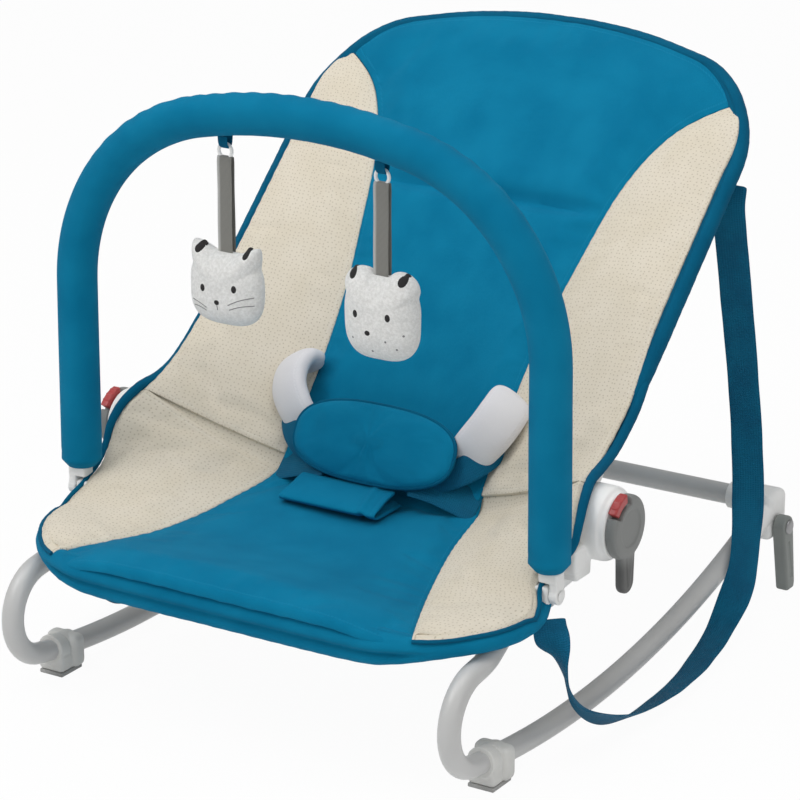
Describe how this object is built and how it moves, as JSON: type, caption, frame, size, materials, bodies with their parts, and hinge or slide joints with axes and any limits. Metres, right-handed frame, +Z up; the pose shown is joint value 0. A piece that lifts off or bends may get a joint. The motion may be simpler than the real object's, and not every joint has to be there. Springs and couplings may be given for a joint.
{
  "type": "baby bouncer",
  "caption": "Reclining baby rocker on bent tube runners, with a padded cover, harness pad, carry straps and a swing-down toy bar.",
  "frame": {"origin": "on the floor, at the middle of the part's outline seen from above", "axes": "+X across the seat, towards the side where the bear hangs; +Y towards the back of the seat; +Z up"},
  "size_m": [0.5254, 0.5586, 0.4974],
  "materials": {
    "frame_paint": "satin light grey paint",
    "white_plastic": "satin white",
    "grey_plastic": "satin grey",
    "foot_plastic": "satin light grey",
    "red_plastic": "dull red",
    "rubber": "black rubber",
    "zinc_steel": "zinc plated",
    "blue_fabric": "teal blue woven polyester",
    "blue_trim": "dark teal binding and webbing",
    "beige_fabric": "cream jersey with a fine dot print",
    "white_fabric": "white padded fabric",
    "plush": "white plush with dark ears and face",
    "ribbon": "grey ribbon"
  },
  "bodies": {
    "base": {"side_tube_left": "frame_paint", "side_tube_right": "frame_paint", "rear_crossbar": "frame_paint", "rear_corner_left": "white_plastic", "rear_corner_right": "white_plastic", "rear_foot_pin_left": "zinc_steel", "rear_foot_pin_right": "zinc_steel", "front_foot_left": "foot_plastic", "front_foot_right": "foot_plastic", "front_foot_pad_left": "rubber", "front_foot_pad_right": "rubber", "hub_base_left": "white_plastic", "hub_base_right": "white_plastic", "hub_axle_left": "zinc_steel", "hub_axle_right": "zinc_steel", "seat_tube": "frame_paint", "seat_sleeve": "blue_trim", "seat_pad_centre": "blue_fabric", "seat_pad_left": "beige_fabric", "seat_pad_right": "beige_fabric", "crotch_pad": "blue_fabric", "crotch_strap": "blue_trim", "toy_bar_clip_left": "white_plastic", "toy_bar_clip_right": "white_plastic", "carry_strap_left": "blue_trim", "carry_strap_right": "blue_trim"},
    "backrest": {"back_tube": "frame_paint", "back_sleeve": "blue_trim", "back_pad_centre": "blue_fabric", "back_pad_left": "beige_fabric", "back_pad_right": "beige_fabric", "hub_back_left": "white_plastic", "hub_back_right": "white_plastic", "hip_strap_left": "white_fabric", "hip_strap_right": "white_fabric"},
    "toy_bar": {"toy_bar_core": "grey_plastic", "toy_bar_cover": "blue_fabric", "toy_bar_end_left": "white_plastic", "toy_bar_end_right": "white_plastic", "cat_tab": "ribbon", "bear_tab": "ribbon"},
    "recline_lever_left": {"recline_lever_left": "grey_plastic"},
    "recline_lever_right": {"recline_lever_right": "grey_plastic"},
    "lock_button_left": {"lock_button_left": "red_plastic"},
    "lock_button_right": {"lock_button_right": "red_plastic"},
    "rear_foot_left": {"rear_foot_left": "grey_plastic"},
    "rear_foot_right": {"rear_foot_right": "grey_plastic"},
    "cat_toy": {"cat_ring": "white_plastic", "cat_ribbon": "ribbon", "cat_head": "plush"},
    "bear_toy": {"bear_ring": "white_plastic", "bear_ribbon": "ribbon", "bear_head": "plush"}
  },
  "joints": [
    {"name": "recline", "type": "hinge", "parent": "base", "child": "backrest", "pos_m": [0, -0.0695, 0.1715], "axis": [1, 0, 0], "range_deg": [-15, 15], "deforming": ["carry_strap_left", "carry_strap_right"]},
    {"name": "recline_lever_left_turn", "type": "hinge", "parent": "base", "child": "recline_lever_left", "pos_m": [-0.241, -0.0695, 0.1715], "axis": [1, 0, 0], "range_deg": [0, 45]},
    {"name": "recline_lever_right_turn", "type": "hinge", "parent": "base", "child": "recline_lever_right", "pos_m": [0.241, -0.0695, 0.1715], "axis": [1, 0, 0], "range_deg": [0, 45]},
    {"name": "lock_button_left_press", "type": "slide", "parent": "recline_lever_left", "child": "lock_button_left", "axis": [0, 0.4695, -0.8829], "range_m": [0, 0.002], "stiffness_N_per_m": 300},
    {"name": "lock_button_right_press", "type": "slide", "parent": "recline_lever_right", "child": "lock_button_right", "axis": [0, 0.4695, -0.8829], "range_m": [0, 0.002], "stiffness_N_per_m": 300},
    {"name": "rear_foot_left_fold", "type": "hinge", "parent": "base", "child": "rear_foot_left", "pos_m": [-0.223, 0.2575, 0.0615], "axis": [1, 0, 0], "range_deg": [0, 100]},
    {"name": "rear_foot_right_fold", "type": "hinge", "parent": "base", "child": "rear_foot_right", "pos_m": [0.223, 0.2575, 0.0615], "axis": [1, 0, 0], "range_deg": [0, 100]},
    {"name": "toy_bar_fold", "type": "hinge", "parent": "base", "child": "toy_bar", "pos_m": [0, -0.1515, 0.1395], "axis": [1, 0, 0], "range_deg": [0, 55]},
    {"name": "cat_swing", "type": "hinge", "parent": "toy_bar", "child": "cat_toy", "pos_m": [-0.072, -0.1515, 0.4525], "axis": [1, 0, 0], "range_deg": [-50, 50]},
    {"name": "bear_swing", "type": "hinge", "parent": "toy_bar", "child": "bear_toy", "pos_m": [0.072, -0.1515, 0.4525], "axis": [1, 0, 0], "range_deg": [-50, 50]}
  ]
}
